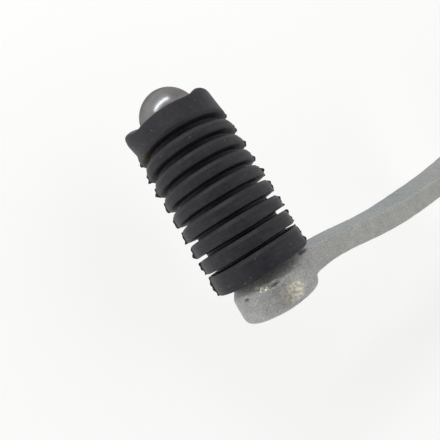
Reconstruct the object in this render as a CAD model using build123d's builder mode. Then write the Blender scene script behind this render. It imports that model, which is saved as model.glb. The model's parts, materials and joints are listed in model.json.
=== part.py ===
"""Gear shift lever with toe peg, rod linkage and splined shift arm, in millimetres.

The origin is on the lever's pivot axis, on the face that seats on the machine's frame.
+X runs from the pivot to the toe peg, the peg points to -Y, away from the machine,
and +Z is up as the lever lies on a bench.  Every pivot axis is parallel to Y.
"""
import math
import os

from build123d import *

os.makedirs("parts", exist_ok=True)

# ---------------------------------------------------------------- driving dimensions
PEG_X = 148.0  # pivot axis to toe peg axis
TAIL_LENGTH = 38.0  # pivot axis to ball joint, the same on the lever and the shift arm
SHAFT_X = -150.0  # gearbox shaft axis, level with the pivot axis

# Along Y, from the frame face outwards
BOSS_INNER_Y = -2.5
BOSS_OUTER_Y = -26.5
TAIL_INNER_Y = -10.5
TAIL_OUTER_Y = -18.5
PEG_BOSS_INNER_Y = -22.0
PEG_SEAT_Y = -31.0
RUBBER_OUTER_Y = -70.8

BOSS_LENGTH = BOSS_INNER_Y - BOSS_OUTER_Y
TAIL_THICKNESS = TAIL_INNER_Y - TAIL_OUTER_Y

# Lever casting
PIVOT_BOSS_R = 12.5
PEG_BOSS_R = 9.6
PEG_NECK_R = 7.7
PEG_NECK_LENGTH = 2.8
PEG_BOSS_EDGE_R = 1.8
PIVOT_BOSS_CHAMFER = 0.8
ARM_EDGE_R = 0.7
TAIL_ROOT_R = 10.0
EYE_R = 8.5
CAST_EDGE_R = 1.2

# Arm sections: distance from the peg axis towards the pivot, the Y of the crown, of the
# outboard edge and of the inboard face, and half the width.  They flare into both bosses.
ARM_STATIONS = (
    (3.0, -30.4, -29.7, -23.3, 7.3),
    (13.0, -30.5, -29.25, -23.85, 7.0),
    (25.0, -29.35, -27.6, -22.2, 7.0),
    (40.0, -27.3, -25.0, -19.5, 7.0),
    (57.0, -26.15, -22.9, -17.5, 7.0),
    (75.0, -25.35, -21.45, -16.1, 7.0),
    (93.0, -25.1, -20.4, -15.1, 7.0),
    (111.0, -25.3, -19.8, -14.4, 7.0),
    (127.0, -25.4, -19.4, -13.8, 7.3),
    (141.0, -25.3, -19.2, -13.2, 9.0),
)

# Pivot hardware
PIVOT_BOLT_R = 4.0
SLEEVE_R = 6.0
SLEEVE_BORE_R = 4.1
BUSH_R = 8.0
BUSH_LENGTH = 8.0
BUSH_CLEARANCE = 0.05
BUSH_CHAMFER = 0.4
SLEEVE_CHAMFER = 0.3
SEAL_R = 9.2
SEAL_DEPTH = 3.0
SEAL_LIP = 0.5
SEAL_LIP_WIDTH = 0.7
SEAL_GROOVE_DEPTH = 0.8
SEAL_DRAFT = 0.4
SEAL_WALL = 0.7
SEAL_BACK_GAP = 0.1
SEAL_CLEARANCE = 0.3
WASHER_THICKNESS = 1.5
WASHER_EDGE_R = 0.35
INNER_WASHER_R = 11.0
OUTER_WASHER_R = 10.0
BOLT_FLANGE_R = 8.8
BOLT_FLANGE_THICKNESS = 1.8
BOLT_HEX_FLATS = 12.0
BOLT_HEX_HEIGHT = 6.0
BOLT_HEX_TURN_DEPTH = 0.4
BOLT_HEX_TURN_LENGTH = 0.9
BOLT_FLANGE_RIM = 0.6
BOLT_FLANGE_ROUND = 0.3
PIVOT_SHANK_R = 3.55
FRAME_THREAD_LENGTH = 18.0
THREAD_LEAD_IN = 0.8

# Toe peg and its rubber
PEG_R = 5.0
SPIGOT_R = 4.5
DOME_R = 7.3
DOME_LAND = 1.1
RIVET_R = 6.2
RIVET_DEPTH = 1.7
RIVET_PROUD = 0.5
RUBBER_R = 11.5
RUBBER_FLANGE_R = 11.0
RUBBER_ROOT_R = 9.25
RUBBER_OUTER_FLANGE = 5.4
RUBBER_INNER_FLANGE = 4.8
RIB_COUNT = 7
RIB_CHAMFER_AXIAL = 0.85
RIB_CHAMFER_RADIAL = 0.35
WIDE_GAP = 1.65
NARROW_GAP = 0.75
RUBBER_END_CHAMFER = 0.4
LUG_HEIGHT = 1.8
LUG_WIDTH = 9.0
LUG_DEPTH = 2.8
LUG_ANGLES = (-14.0, 112.0)  # degrees round the peg from +X towards +Z

# Ball joints, measured along the stud from the face of the arm that holds it
STUD_R = 3.0
STUD_HOLE_R = 3.1
STUD_COLLAR_FLATS = 11.0
STUD_COLLAR_HEIGHT = 3.5
STUD_NECK_R = 2.7
STUD_NECK_TAPER = 0.9
BALL_R = 5.0
BALL_HEIGHT = 13.0
BALL_FLAT = 4.1
SEAT_CLEARANCE = 0.05
SEAT_R = 6.3
SEAT_HALF_HEIGHT = 4.0
SOCKET_R = 8.0
SOCKET_START = 7.2
SOCKET_END = 19.6
SOCKET_EDGE_DEPTH = 1.0
SOCKET_EDGE_LENGTH = 1.2
SOCKET_MOUTH_R = 3.9
SOCKET_SPIGOT_R = 7.0
SOCKET_SPIGOT_LENGTH = 1.4
CAP_START = 17.5
CAP_THICKNESS = 1.4
CAP_EDGE_R = 0.4
BOOT_WALL = 0.9
SHANK_R = 4.4
SHANK_LENGTH = 23.0
SHANK_HEX_FLATS = 10.0
SHANK_HEX_LENGTH = 9.0
SHANK_THREAD_RELIEF = 1.0
NUT_FLATS = 10.0
NUT_HEIGHT = 5.0
STUD_WASHER_R = 6.0
STUD_WASHER_THICKNESS = 1.2
STUD_TIP = 1.6

# Tie rod
ROD_THREAD_R = 3.0
ROD_R = 4.0
ROD_ENGAGEMENT = 12.0
ROD_THREAD_LENGTH = 32.0
ROD_FLATS = 7.0
ROD_FLATS_LENGTH = 14.0
ROD_CHAMFER = 0.6

# Shift arm and its pinch bolt
HUB_R = 11.0
HUB_INNER_Y = -7.5
HUB_LENGTH = 13.0
SHIFT_ARM_FOOT_R = 7.5
CLAMP_R = 5.9
SERRATION_COUNT = 24
SERRATION_DEPTH = 0.42
SLOT_WIDTH = 2.4
LUG_REACH = 16.5
LUG_HALF_HEIGHT = 6.5
LUG_CORNER_R = 2.5
PINCH_OFFSET = 10.6
PINCH_R = 3.0
PINCH_CLEARANCE_R = 3.3
PINCH_WASHER_R = 5.6
PINCH_WASHER_THICKNESS = 1.0
PINCH_HEX_HEIGHT = 4.0
PINCH_HEX_CHAMFER = 0.5
PINCH_TIP = 1.5
PINCH_TIP_CHAMFER = 0.6
SPOT_FACE_R = 6.2

HUB_MID_Y = HUB_INNER_Y - HUB_LENGTH / 2

PIVOT_AXIS = Axis((0, 0, 0), (0, 1, 0))
PEG_AXIS = Axis((PEG_X, 0, 0), (0, 1, 0))
PEG_PROFILE = Plane(origin=(PEG_X, 0, 0))


def hex_radius(across_flats):
    """Corner radius of a hexagon from its width across flats."""
    return across_flats / math.sqrt(3)


# ---------------------------------------------------------------- lever casting
with BuildPart() as lever_arm:
    for reach, crown_y, edge_y, inner_y, half_width in ARM_STATIONS:
        with BuildSketch(Plane.YZ.offset(PEG_X - reach)) as arm_section:
            with BuildLine():
                Polyline(
                    (crown_y, 0),
                    (edge_y, half_width),
                    (inner_y, half_width),
                    (inner_y, -half_width),
                    (edge_y, -half_width),
                    close=True,
                )
            make_face()
            fillet(arm_section.vertices(), ARM_EDGE_R)
    loft()

    # Peg boss: a neck under the rubber that opens out to a round-edged disc
    with BuildSketch(PEG_PROFILE) as peg_boss_section:
        with BuildLine():
            Polyline(
                (0, PEG_SEAT_Y),
                (PEG_NECK_R, PEG_SEAT_Y),
                (PEG_BOSS_R, PEG_SEAT_Y + PEG_NECK_LENGTH),
                (PEG_BOSS_R, PEG_BOSS_INNER_Y),
                (0, PEG_BOSS_INNER_Y),
                close=True,
            )
        make_face()
        rounded = peg_boss_section.vertices().filter_by_position(Axis.X, PEG_BOSS_R, PEG_BOSS_R)
        fillet(rounded, PEG_BOSS_EDGE_R)
    revolve(axis=PEG_AXIS)

    # Tail that carries the front ball stud
    with BuildSketch(Plane.XZ.offset(-TAIL_INNER_Y)) as tail_section:
        with Locations((0, 0)):
            Circle(TAIL_ROOT_R)
        with Locations((0, TAIL_LENGTH)):
            Circle(EYE_R)
        make_hull()
    tail = extrude(amount=TAIL_THICKNESS)
    tail_edges = tail.edges().filter_by(Plane.XZ)
    fillet(tail_edges, CAST_EDGE_R)

    # Pivot boss
    with BuildSketch(Plane.XZ.offset(-BOSS_INNER_Y)):
        Circle(PIVOT_BOSS_R)
    extrude(amount=BOSS_LENGTH)
    rim = lever_arm.edges().filter_by(GeomType.CIRCLE)
    rim = rim.filter_by(lambda edge: abs(edge.radius - PIVOT_BOSS_R) < 0.01)
    rim = rim.group_by(Axis.Y)
    chamfer(rim[0] + rim[-1], PIVOT_BOSS_CHAMFER)

    # Bored right through, with a seal recess at each end
    with BuildSketch(Plane.XZ.offset(-BOSS_INNER_Y)):
        Circle(BUSH_R)
    extrude(amount=BOSS_LENGTH, mode=Mode.SUBTRACT)
    with BuildSketch(Plane.XZ.offset(-BOSS_INNER_Y)):
        Circle(SEAL_R)
    extrude(amount=SEAL_DEPTH, mode=Mode.SUBTRACT)
    with BuildSketch(Plane.XZ.offset(-BOSS_OUTER_Y)):
        Circle(SEAL_R)
    extrude(amount=-SEAL_DEPTH, mode=Mode.SUBTRACT)

    # Stud hole in the tail
    with BuildSketch(Plane.XZ.offset(-TAIL_INNER_Y)):
        with Locations((0, TAIL_LENGTH)):
            Circle(STUD_HOLE_R)
    extrude(amount=TAIL_THICKNESS, mode=Mode.SUBTRACT)

    # Riveted seat of the toe peg, countersunk inboard
    with BuildSketch(PEG_PROFILE):
        with BuildLine():
            Polyline(
                (0, PEG_SEAT_Y),
                (SPIGOT_R, PEG_SEAT_Y),
                (SPIGOT_R, PEG_BOSS_INNER_Y - RIVET_DEPTH),
                (RIVET_R, PEG_BOSS_INNER_Y),
                (0, PEG_BOSS_INNER_Y),
                close=True,
            )
        make_face()
    revolve(axis=PEG_AXIS, mode=Mode.SUBTRACT)
lever_arm.part.label = "lever_arm"
export_step(lever_arm.part, "parts/lever_arm.step")

# ---------------------------------------------------------------- toe peg
DOME_BASE_Y = RUBBER_OUTER_Y - DOME_LAND
RIVET_TOP_Y = PEG_BOSS_INNER_Y + RIVET_PROUD

with BuildPart() as toe_peg:
    with BuildSketch(PEG_PROFILE):
        with BuildLine():
            TangentArc((DOME_R, DOME_BASE_Y), (0, DOME_BASE_Y - DOME_R), tangent=(0, -1))
            Polyline(
                (DOME_R, DOME_BASE_Y),
                (DOME_R, RUBBER_OUTER_Y),
                (PEG_R, RUBBER_OUTER_Y),
                (PEG_R, PEG_SEAT_Y),
                (SPIGOT_R, PEG_SEAT_Y),
                (SPIGOT_R, PEG_BOSS_INNER_Y - RIVET_DEPTH),
                (RIVET_R, PEG_BOSS_INNER_Y),
            )
            TangentArc((0, RIVET_TOP_Y), (RIVET_R, PEG_BOSS_INNER_Y), tangent=(1, 0))
            Line((0, RIVET_TOP_Y), (0, DOME_BASE_Y - DOME_R))
        make_face()
    revolve(axis=PEG_AXIS)
toe_peg.part.label = "toe_peg"
export_step(toe_peg.part, "parts/toe_peg.step")

# ---------------------------------------------------------------- peg rubber
# Walks the outside from the outer flange to the inner one.  The grooves open out
# towards the outer end, where the moulding is looser.
first_groove_y = RUBBER_OUTER_Y + RUBBER_OUTER_FLANGE
last_groove_end_y = PEG_SEAT_Y - RUBBER_INNER_FLANGE
groove_count = RIB_COUNT + 1
rib_pitch = (last_groove_end_y - NARROW_GAP - first_groove_y) / RIB_COUNT

rubber_outline = [(PEG_R, RUBBER_OUTER_Y), (RUBBER_FLANGE_R, RUBBER_OUTER_Y)]
rubber_outline.append((RUBBER_R, first_groove_y))
for groove in range(groove_count):
    start_y = first_groove_y + groove * rib_pitch
    gap = WIDE_GAP + (NARROW_GAP - WIDE_GAP) * groove / RIB_COUNT
    end_y = start_y + gap
    rubber_outline.append((RUBBER_ROOT_R, start_y))
    rubber_outline.append((RUBBER_ROOT_R, end_y))
    rubber_outline.append((RUBBER_R - RIB_CHAMFER_RADIAL, end_y))
    rubber_outline.append((RUBBER_R, end_y + RIB_CHAMFER_AXIAL))
    if groove < RIB_COUNT:
        rubber_outline.append((RUBBER_R, start_y + rib_pitch))
rubber_outline.append((RUBBER_R, PEG_SEAT_Y - RUBBER_END_CHAMFER))
rubber_outline.append((RUBBER_R - RUBBER_END_CHAMFER, PEG_SEAT_Y))
rubber_outline.append((PEG_R, PEG_SEAT_Y))

with BuildPart() as peg_rubber:
    with BuildSketch(PEG_PROFILE):
        with BuildLine():
            Polyline(*rubber_outline, close=True)
        make_face()
    revolve(axis=PEG_AXIS)
    # Two lugs stand up from the rim of the outer flange
    for lug_angle in LUG_ANGLES:
        with BuildSketch(Plane.XZ.offset(-RUBBER_OUTER_Y)):
            with Locations((PEG_X, 0)):
                Circle(RUBBER_FLANGE_R)
                Circle(RUBBER_FLANGE_R - LUG_DEPTH, mode=Mode.SUBTRACT)
                Rectangle(
                    RUBBER_R,
                    LUG_WIDTH,
                    rotation=lug_angle,
                    align=(Align.MIN, Align.CENTER),
                    mode=Mode.INTERSECT,
                )
        extrude(amount=LUG_HEIGHT)
peg_rubber.part.label = "peg_rubber"
export_step(peg_rubber.part, "parts/peg_rubber.step")

# ---------------------------------------------------------------- pivot bushes and seals
bush_starts = {
    "pivot_bush_inner": BOSS_INNER_Y - SEAL_DEPTH,
    "pivot_bush_outer": BOSS_OUTER_Y + SEAL_DEPTH + BUSH_LENGTH,
}
for bush_name, bush_start_y in bush_starts.items():
    with BuildPart() as pivot_bush:
        with BuildSketch(Plane.XZ.offset(-bush_start_y)):
            Circle(BUSH_R)
            Circle(SLEEVE_R + BUSH_CLEARANCE, mode=Mode.SUBTRACT)
        extrude(amount=BUSH_LENGTH)
        chamfer(pivot_bush.edges().filter_by(GeomType.CIRCLE), BUSH_CHAMFER)
    pivot_bush.part.label = bush_name
    export_step(pivot_bush.part, f"parts/{bush_name}.step")

seal_bore_r = SLEEVE_R + SEAL_CLEARANCE
seal_faces = {"dust_seal_inner": (BOSS_INNER_Y, 1), "dust_seal_outer": (BOSS_OUTER_Y, -1)}
for seal_name, (seal_face_y, outward) in seal_faces.items():
    with BuildPart() as dust_seal:
        with BuildSketch(Plane(origin=(0, seal_face_y, 0), x_dir=(1, 0, 0), z_dir=(0, 0, outward))):
            with BuildLine():
                Polyline(
                    (seal_bore_r, SEAL_LIP),
                    (seal_bore_r + SEAL_LIP_WIDTH, SEAL_LIP),
                    (seal_bore_r + SEAL_LIP_WIDTH + SEAL_DRAFT, -SEAL_GROOVE_DEPTH),
                    (SEAL_R - SEAL_WALL, -SEAL_GROOVE_DEPTH),
                    (SEAL_R - SEAL_DRAFT, 0),
                    (SEAL_R, 0),
                    (SEAL_R, SEAL_BACK_GAP - SEAL_DEPTH),
                    (seal_bore_r, SEAL_BACK_GAP - SEAL_DEPTH),
                    close=True,
                )
            make_face()
        revolve(axis=PIVOT_AXIS)
    dust_seal.part.label = seal_name
    export_step(dust_seal.part, f"parts/{seal_name}.step")

# ---------------------------------------------------------------- pivot bolt, sleeve, washers
SLEEVE_LENGTH = BOSS_LENGTH + 2 * (-BOSS_INNER_Y - WASHER_THICKNESS)
SLEEVE_OUTER_Y = -WASHER_THICKNESS - SLEEVE_LENGTH
HEAD_SEAT_Y = SLEEVE_OUTER_Y - WASHER_THICKNESS
HEAD_TOP_Y = HEAD_SEAT_Y - BOLT_FLANGE_THICKNESS - BOLT_HEX_HEIGHT

with BuildPart() as pivot_sleeve:
    with BuildSketch(Plane.XZ.offset(WASHER_THICKNESS)):
        Circle(SLEEVE_R)
        Circle(SLEEVE_BORE_R, mode=Mode.SUBTRACT)
    extrude(amount=SLEEVE_LENGTH)
    chamfer(pivot_sleeve.edges().filter_by(GeomType.CIRCLE), SLEEVE_CHAMFER)
pivot_sleeve.part.label = "pivot_sleeve"
export_step(pivot_sleeve.part, "parts/pivot_sleeve.step")

washers = {
    "pivot_washer_inner": (0, INNER_WASHER_R),
    "pivot_washer_outer": (SLEEVE_OUTER_Y, OUTER_WASHER_R),
}
for washer_name, (washer_inner_y, washer_r) in washers.items():
    with BuildPart() as pivot_washer:
        with BuildSketch(Plane.XZ.offset(-washer_inner_y)):
            Circle(washer_r)
            Circle(SLEEVE_BORE_R, mode=Mode.SUBTRACT)
        extrude(amount=WASHER_THICKNESS)
        outer_rim = pivot_washer.edges().filter_by(GeomType.CIRCLE).sort_by(SortBy.RADIUS)[-2:]
        fillet(outer_rim, WASHER_EDGE_R)
    pivot_washer.part.label = washer_name
    export_step(pivot_washer.part, f"parts/{washer_name}.step")

with BuildPart() as pivot_bolt:
    with BuildSketch(Plane.XZ.offset(-HEAD_SEAT_Y)):
        RegularPolygon(hex_radius(BOLT_HEX_FLATS), 6)
    extrude(amount=HEAD_SEAT_Y - HEAD_TOP_Y)
    # The turned corners of the hexagon
    with BuildSketch(Plane((0, 0, 0))):
        with BuildLine():
            Polyline(
                (0, HEAD_SEAT_Y),
                (BOLT_FLANGE_R, HEAD_SEAT_Y),
                (BOLT_FLANGE_R, HEAD_TOP_Y + BOLT_HEX_TURN_LENGTH),
                (BOLT_HEX_FLATS / 2 - BOLT_HEX_TURN_DEPTH, HEAD_TOP_Y),
                (0, HEAD_TOP_Y),
                close=True,
            )
        make_face()
    revolve(axis=PIVOT_AXIS, mode=Mode.INTERSECT)
    # Flange, shank and the thread that goes into the frame
    with BuildSketch(Plane((0, 0, 0))):
        with BuildLine():
            Polyline(
                (0, HEAD_SEAT_Y - BOLT_FLANGE_THICKNESS),
                (BOLT_HEX_FLATS / 2, HEAD_SEAT_Y - BOLT_FLANGE_THICKNESS),
                (BOLT_FLANGE_R - BOLT_FLANGE_ROUND, HEAD_SEAT_Y - BOLT_FLANGE_RIM - BOLT_FLANGE_ROUND),
                (BOLT_FLANGE_R, HEAD_SEAT_Y - BOLT_FLANGE_RIM),
                (BOLT_FLANGE_R, HEAD_SEAT_Y),
                (PIVOT_SHANK_R, HEAD_SEAT_Y),
                (PIVOT_SHANK_R, 0),
                (PIVOT_BOLT_R, 0),
                (PIVOT_BOLT_R, FRAME_THREAD_LENGTH - THREAD_LEAD_IN),
                (PIVOT_BOLT_R - THREAD_LEAD_IN, FRAME_THREAD_LENGTH),
                (0, FRAME_THREAD_LENGTH),
                close=True,
            )
        make_face()
    revolve(axis=PIVOT_AXIS)
pivot_bolt.part.label = "pivot_bolt"
export_step(pivot_bolt.part, "parts/pivot_bolt.step")

# ---------------------------------------------------------------- ball joints
# Both studs point outboard.  Each piece is drawn in a plane whose y runs along the stud,
# from the outboard face of the tail or the shift arm.
ROD_Y = TAIL_OUTER_Y - BALL_HEIGHT
SEAT_BALL_R = BALL_R + SEAT_CLEARANCE
seat_mouth_r = math.sqrt(SEAT_BALL_R**2 - SEAT_HALF_HEIGHT**2)

for end, ball_x, towards_rod in (("front", 0.0, -1), ("rear", SHAFT_X, 1)):
    stud_axis = Axis((ball_x, 0, TAIL_LENGTH), (0, 1, 0))
    stud_face = (ball_x, TAIL_OUTER_Y, TAIL_LENGTH)
    stud_profile = Plane(origin=stud_face, x_dir=(1, 0, 0), z_dir=(0, 0, -1))
    stud_across = Plane(origin=stud_face, x_dir=(1, 0, 0), z_dir=(0, -1, 0))
    ball_centre = (ball_x, ROD_Y, TAIL_LENGTH)
    rod_across = Plane(origin=ball_centre, x_dir=(0, 1, 0), z_dir=(towards_rod, 0, 0))
    shank_depth = TAIL_THICKNESS + STUD_WASHER_THICKNESS + NUT_HEIGHT + STUD_TIP

    with BuildPart() as ball_stud:
        with BuildSketch(stud_across):
            RegularPolygon(hex_radius(STUD_COLLAR_FLATS), 6)
        extrude(amount=STUD_COLLAR_HEIGHT)
        with BuildSketch(stud_profile):
            with BuildLine():
                ball_foot = BALL_HEIGHT - math.sqrt(BALL_R**2 - STUD_NECK_R**2)
                flat_r = math.sqrt(BALL_R**2 - BALL_FLAT**2)
                ThreePointArc(
                    (STUD_NECK_R, ball_foot),
                    (BALL_R, BALL_HEIGHT),
                    (flat_r, BALL_HEIGHT + BALL_FLAT),
                )
                Polyline(
                    (flat_r, BALL_HEIGHT + BALL_FLAT),
                    (0, BALL_HEIGHT + BALL_FLAT),
                    (0, -shank_depth),
                    (STUD_R - THREAD_LEAD_IN, -shank_depth),
                    (STUD_R, THREAD_LEAD_IN - shank_depth),
                    (STUD_R, STUD_COLLAR_HEIGHT / 2),
                    (STUD_NECK_R + STUD_NECK_TAPER, STUD_COLLAR_HEIGHT),
                    (STUD_NECK_R, STUD_COLLAR_HEIGHT + STUD_NECK_TAPER),
                    (STUD_NECK_R, ball_foot),
                )
            make_face()
        revolve(axis=stud_axis)
    ball_stud.part.label = f"{end}_ball_stud"
    export_step(ball_stud.part, f"parts/{end}_ball_stud.step")

    with BuildPart() as stud_washer:
        with BuildSketch(Plane.XZ.offset(-TAIL_INNER_Y)):
            with Locations((ball_x, TAIL_LENGTH)):
                Circle(STUD_WASHER_R)
                Circle(STUD_HOLE_R, mode=Mode.SUBTRACT)
        extrude(amount=-STUD_WASHER_THICKNESS)
    stud_washer.part.label = f"{end}_stud_washer"
    export_step(stud_washer.part, f"parts/{end}_stud_washer.step")

    with BuildPart() as stud_nut:
        with BuildSketch(Plane.XZ.offset(-TAIL_INNER_Y - STUD_WASHER_THICKNESS)):
            with Locations((ball_x, TAIL_LENGTH)):
                RegularPolygon(hex_radius(NUT_FLATS), 6)
                Circle(STUD_R, mode=Mode.SUBTRACT)
        extrude(amount=-NUT_HEIGHT)
    stud_nut.part.label = f"{end}_stud_nut"
    export_step(stud_nut.part, f"parts/{end}_stud_nut.step")

    with BuildPart() as ball_socket:
        with BuildSketch(rod_across):
            Circle(SHANK_R)
        extrude(amount=SHANK_LENGTH - SHANK_HEX_LENGTH)
        with BuildSketch(rod_across.offset(SHANK_LENGTH - SHANK_HEX_LENGTH)):
            RegularPolygon(hex_radius(SHANK_HEX_FLATS), 6)
        extrude(amount=SHANK_HEX_LENGTH)
        with BuildSketch(stud_profile):
            with BuildLine():
                Polyline(
                    (0, SOCKET_START),
                    (SOCKET_SPIGOT_R, SOCKET_START),
                    (SOCKET_SPIGOT_R, SOCKET_START + SOCKET_SPIGOT_LENGTH),
                    (SOCKET_R, SOCKET_START + SOCKET_SPIGOT_LENGTH),
                    (SOCKET_R, SOCKET_END - SOCKET_EDGE_LENGTH),
                    (SOCKET_R - SOCKET_EDGE_DEPTH, SOCKET_END),
                    (0, SOCKET_END),
                    close=True,
                )
            make_face()
        revolve(axis=stud_axis)
        with BuildSketch(stud_profile):
            with BuildLine():
                Polyline(
                    (0, SOCKET_START),
                    (SOCKET_MOUTH_R, SOCKET_START),
                    (SOCKET_MOUTH_R, BALL_HEIGHT - SEAT_HALF_HEIGHT),
                    (SEAT_R, BALL_HEIGHT - SEAT_HALF_HEIGHT),
                    (SEAT_R, SOCKET_END),
                    (0, SOCKET_END),
                    close=True,
                )
            make_face()
        revolve(axis=stud_axis, mode=Mode.SUBTRACT)
        rod_hole_depth = ROD_ENGAGEMENT + SHANK_THREAD_RELIEF
        with BuildSketch(rod_across.offset(SHANK_LENGTH - rod_hole_depth)):
            Circle(ROD_THREAD_R)
        extrude(amount=rod_hole_depth, mode=Mode.SUBTRACT)
    ball_socket.part.label = f"{end}_ball_socket"
    export_step(ball_socket.part, f"parts/{end}_ball_socket.step")

    with BuildPart() as ball_seat:
        with BuildSketch(stud_profile):
            with BuildLine():
                Polyline(
                    (seat_mouth_r, BALL_HEIGHT - SEAT_HALF_HEIGHT),
                    (SEAT_R, BALL_HEIGHT - SEAT_HALF_HEIGHT),
                    (SEAT_R, BALL_HEIGHT + SEAT_HALF_HEIGHT),
                    (seat_mouth_r, BALL_HEIGHT + SEAT_HALF_HEIGHT),
                )
                ThreePointArc(
                    (seat_mouth_r, BALL_HEIGHT + SEAT_HALF_HEIGHT),
                    (SEAT_BALL_R, BALL_HEIGHT),
                    (seat_mouth_r, BALL_HEIGHT - SEAT_HALF_HEIGHT),
                )
            make_face()
        revolve(axis=stud_axis)
    ball_seat.part.label = f"{end}_ball_seat"
    export_step(ball_seat.part, f"parts/{end}_ball_seat.step")

    with BuildPart() as socket_cap:
        with BuildSketch(stud_across.offset(CAP_START)):
            Circle(SEAT_R)
        extrude(amount=CAP_THICKNESS)
        fillet(socket_cap.edges().filter_by(GeomType.CIRCLE).sort_by(Axis.Y)[0], CAP_EDGE_R)
    socket_cap.part.label = f"{end}_socket_cap"
    export_step(socket_cap.part, f"parts/{end}_socket_cap.step")

    # Bellows boot: gripped on the socket's spigot, its lip runs just clear of the neck
    lip_r = STUD_NECK_R + 0.3
    lip_start = STUD_COLLAR_HEIGHT + 0.3
    grip_end = SOCKET_START + SOCKET_SPIGOT_LENGTH
    with BuildPart() as dust_boot:
        with BuildSketch(stud_profile):
            with BuildLine():
                Polyline(
                    (lip_r + 0.9, lip_start),
                    (lip_r + BOOT_WALL + 0.6, lip_start + 0.5),
                    (SOCKET_SPIGOT_R - 0.5, lip_start + 2.1),
                    (SOCKET_SPIGOT_R + BOOT_WALL, SOCKET_START),
                    (SOCKET_SPIGOT_R + BOOT_WALL, grip_end),
                    (SOCKET_SPIGOT_R, grip_end),
                    (SOCKET_SPIGOT_R, SOCKET_START),
                    (SOCKET_SPIGOT_R - 1.3, lip_start + 2.9),
                    (lip_r + 0.3, lip_start + 1.6),
                    (lip_r, lip_start + 0.9),
                    (lip_r, lip_start + 0.4),
                    close=True,
                )
            make_face()
        revolve(axis=stud_axis)
    dust_boot.part.label = f"{end}_dust_boot"
    export_step(dust_boot.part, f"parts/{end}_dust_boot.step")

    with BuildPart() as locknut:
        with BuildSketch(rod_across.offset(SHANK_LENGTH)):
            RegularPolygon(hex_radius(NUT_FLATS), 6)
            Circle(ROD_THREAD_R, mode=Mode.SUBTRACT)
        extrude(amount=NUT_HEIGHT)
    locknut.part.label = f"{end}_locknut"
    export_step(locknut.part, f"parts/{end}_locknut.step")

# ---------------------------------------------------------------- tie rod
ROD_START_X = ROD_ENGAGEMENT - SHANK_LENGTH
ROD_END_X = SHAFT_X + SHANK_LENGTH - ROD_ENGAGEMENT
ROD_LENGTH = ROD_START_X - ROD_END_X
rod_plane = Plane(origin=(ROD_START_X, ROD_Y, TAIL_LENGTH), x_dir=(0, 1, 0), z_dir=(-1, 0, 0))

with BuildPart() as tie_rod:
    with BuildSketch(rod_plane):
        Circle(ROD_THREAD_R)
    extrude(amount=ROD_LENGTH)
    chamfer(tie_rod.edges().filter_by(GeomType.CIRCLE), ROD_CHAMFER)
    with BuildSketch(rod_plane.offset(ROD_THREAD_LENGTH)):
        Circle(ROD_R)
    extrude(amount=ROD_LENGTH - 2 * ROD_THREAD_LENGTH)
    body_rims = tie_rod.edges().filter_by(GeomType.CIRCLE).sort_by(SortBy.RADIUS)[-2:]
    chamfer(body_rims, ROD_CHAMFER)
    # Two wrench flats in the middle
    with BuildSketch(rod_plane.offset((ROD_LENGTH - ROD_FLATS_LENGTH) / 2)):
        Rectangle(3 * ROD_R, 3 * ROD_R)
        Rectangle(3 * ROD_R, ROD_FLATS, mode=Mode.SUBTRACT)
    extrude(amount=ROD_FLATS_LENGTH, mode=Mode.SUBTRACT)
tie_rod.part.label = "tie_rod"
export_step(tie_rod.part, "parts/tie_rod.step")

# ---------------------------------------------------------------- shift arm
with BuildPart() as shift_arm:
    with BuildSketch(Plane.XZ.offset(-TAIL_INNER_Y)):
        with Locations((SHAFT_X, 0)):
            Circle(SHIFT_ARM_FOOT_R)
        with Locations((SHAFT_X, TAIL_LENGTH)):
            Circle(EYE_R)
        make_hull()
    arm_plate = extrude(amount=TAIL_THICKNESS)
    fillet(arm_plate.edges().filter_by(Plane.XZ), CAST_EDGE_R)
    with BuildSketch(Plane.XZ.offset(-HUB_INNER_Y)):
        with Locations((SHAFT_X, 0)):
            Circle(HUB_R)
        with Locations((SHAFT_X - LUG_REACH / 2, 0)):
            Rectangle(LUG_REACH, 2 * LUG_HALF_HEIGHT)
    extrude(amount=HUB_LENGTH)
    lug_corners = shift_arm.edges().filter_by(Axis.Y).sort_by(Axis.X)[:2]
    fillet(lug_corners, LUG_CORNER_R)
    # Serrated bore, split towards the pinch bolt
    with BuildSketch(Plane.XZ.offset(-HUB_INNER_Y)):
        with Locations((SHAFT_X, 0)):
            Circle(CLAMP_R)
        with Locations((SHAFT_X, 0)):
            with PolarLocations(CLAMP_R, SERRATION_COUNT):
                RegularPolygon(SERRATION_DEPTH, 4)
        with Locations((SHAFT_X - LUG_REACH / 2 - 1, 0)):
            Rectangle(LUG_REACH + 2, SLOT_WIDTH)
    extrude(amount=HUB_LENGTH, mode=Mode.SUBTRACT)
    # Pinch bolt hole: threaded above the split, clear below it and spot-faced for the washer
    with BuildSketch(Plane.XY):
        with Locations((SHAFT_X - PINCH_OFFSET, HUB_MID_Y)):
            Circle(PINCH_R)
    extrude(amount=HUB_R, mode=Mode.SUBTRACT)
    with BuildSketch(Plane.XY):
        with Locations((SHAFT_X - PINCH_OFFSET, HUB_MID_Y)):
            Circle(PINCH_CLEARANCE_R)
    extrude(amount=-HUB_R, mode=Mode.SUBTRACT)
    with BuildSketch(Plane.XY.offset(-LUG_HALF_HEIGHT)):
        with Locations((SHAFT_X - PINCH_OFFSET, HUB_MID_Y)):
            Circle(SPOT_FACE_R)
    extrude(amount=-HUB_R, mode=Mode.SUBTRACT)
    with BuildSketch(Plane.XZ.offset(-TAIL_INNER_Y)):
        with Locations((SHAFT_X, TAIL_LENGTH)):
            Circle(STUD_HOLE_R)
    extrude(amount=TAIL_THICKNESS, mode=Mode.SUBTRACT)
shift_arm.part.label = "shift_arm"
export_step(shift_arm.part, "parts/shift_arm.step")

# ---------------------------------------------------------------- pinch bolt
PINCH_PLANE = Plane(origin=(SHAFT_X - PINCH_OFFSET, HUB_MID_Y, 0))
HEAD_SEAT_Z = -LUG_HALF_HEIGHT - PINCH_WASHER_THICKNESS

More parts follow.
